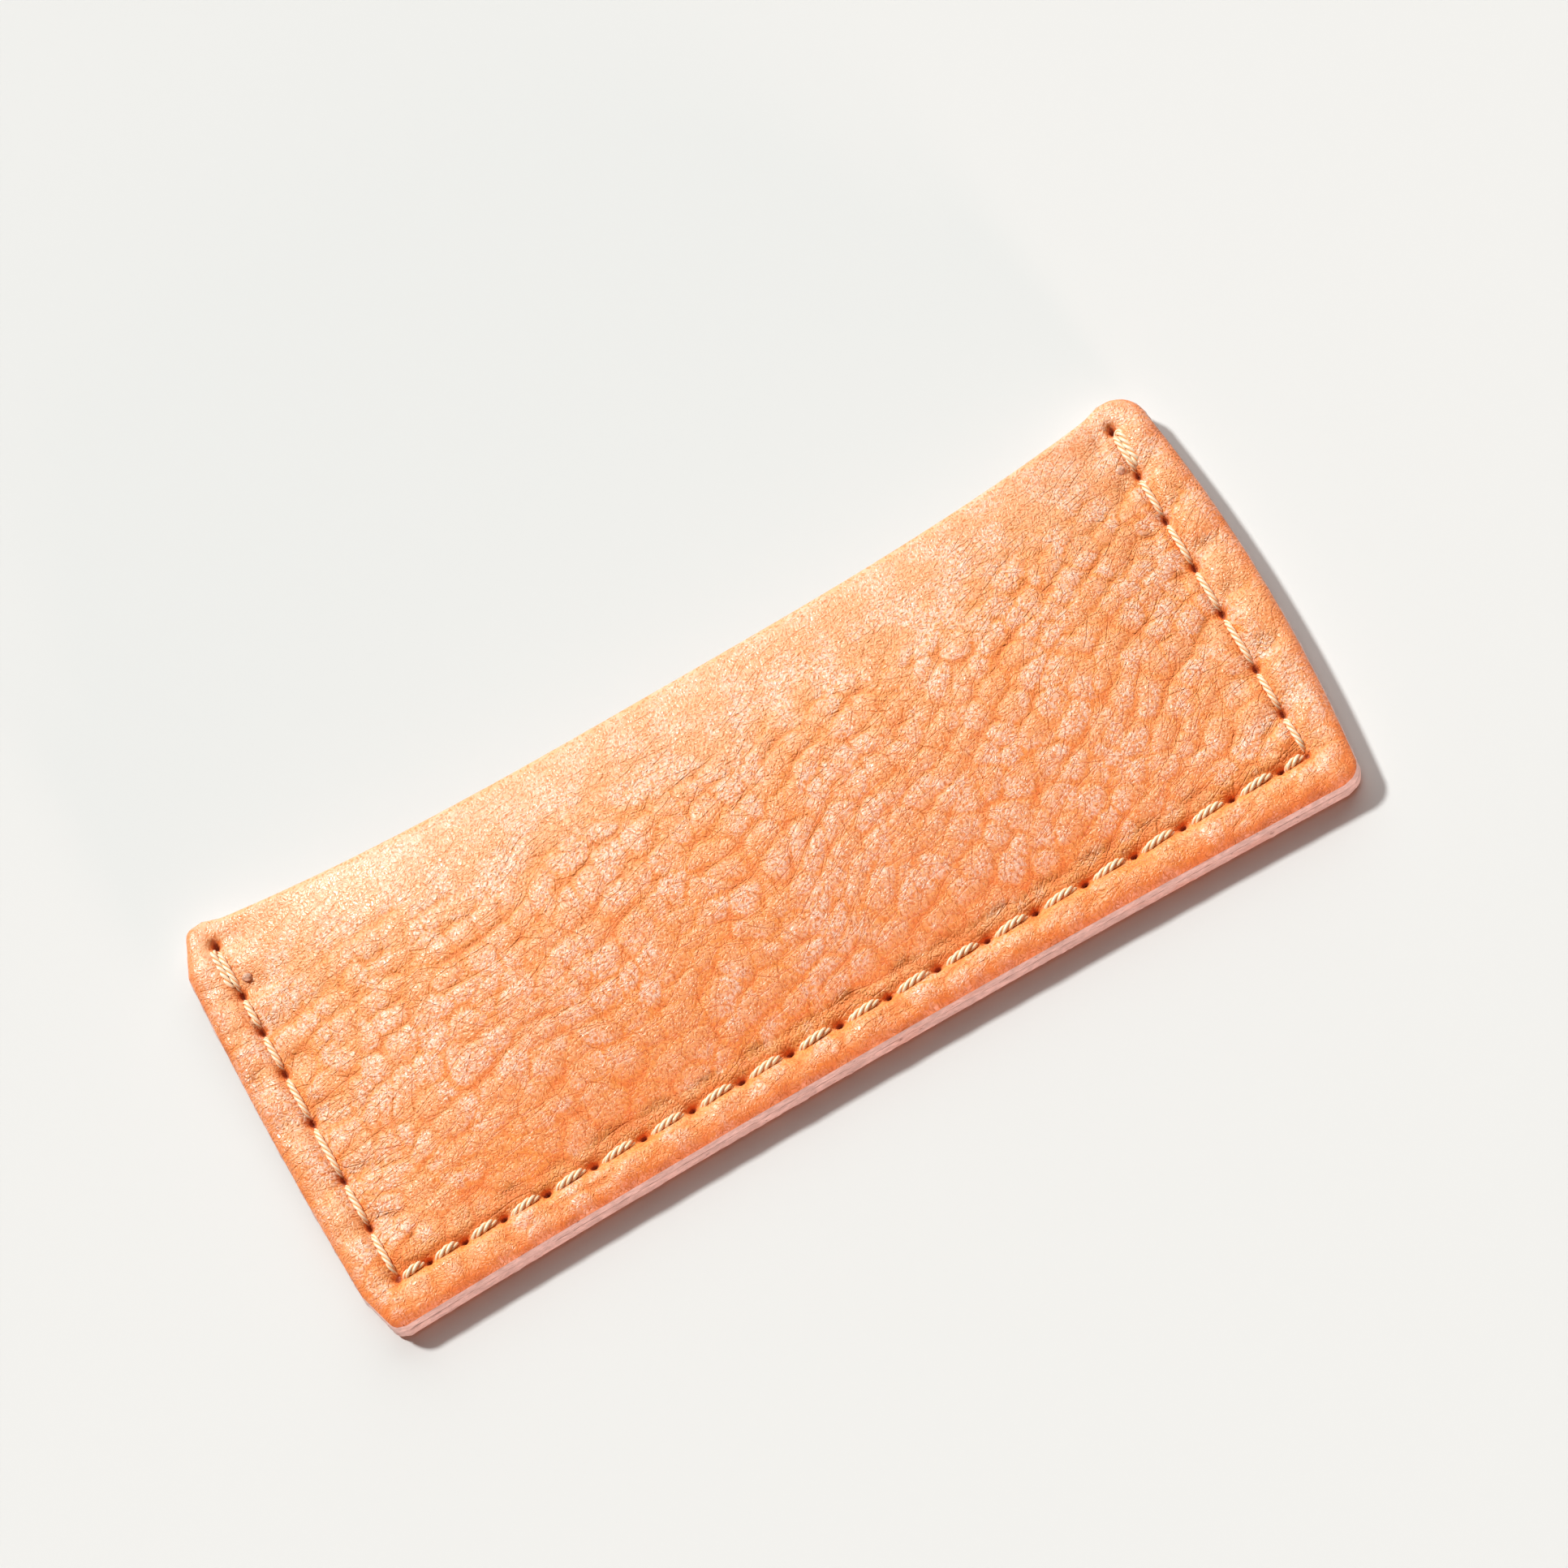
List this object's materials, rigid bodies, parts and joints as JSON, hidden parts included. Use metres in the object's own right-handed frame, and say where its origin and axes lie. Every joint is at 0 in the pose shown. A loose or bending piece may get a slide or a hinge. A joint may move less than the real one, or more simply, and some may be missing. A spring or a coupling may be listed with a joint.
{
  "type": "card holder",
  "caption": "Flat leather card sleeve sewn round three sides, with a puffed front panel and a wide open mouth along one long side.",
  "frame": {"origin": "middle of the back panel's outer face, which the holder lies on", "axes": "+X along the long stitched seam, +Y towards the mouth, +Z from the back panel to the front panel"},
  "size_m": [0.0988, 0.0428, 0.009],
  "materials": {
    "leather": "vegetable-tanned full grain, soft sheen, raw cut edges",
    "thread": "waxed twisted sewing thread",
    "thread_end": "melted end of the thread"
  },
  "bodies": {
    "root": {"front_panel": "leather", "back_panel": "leather", "needle_a_thread": "thread", "needle_b_thread": "thread", "left_back_stitch": "thread", "right_back_stitch": "thread", "left_thread_end": "thread_end", "right_thread_end": "thread_end"}
  },
  "joints": []
}
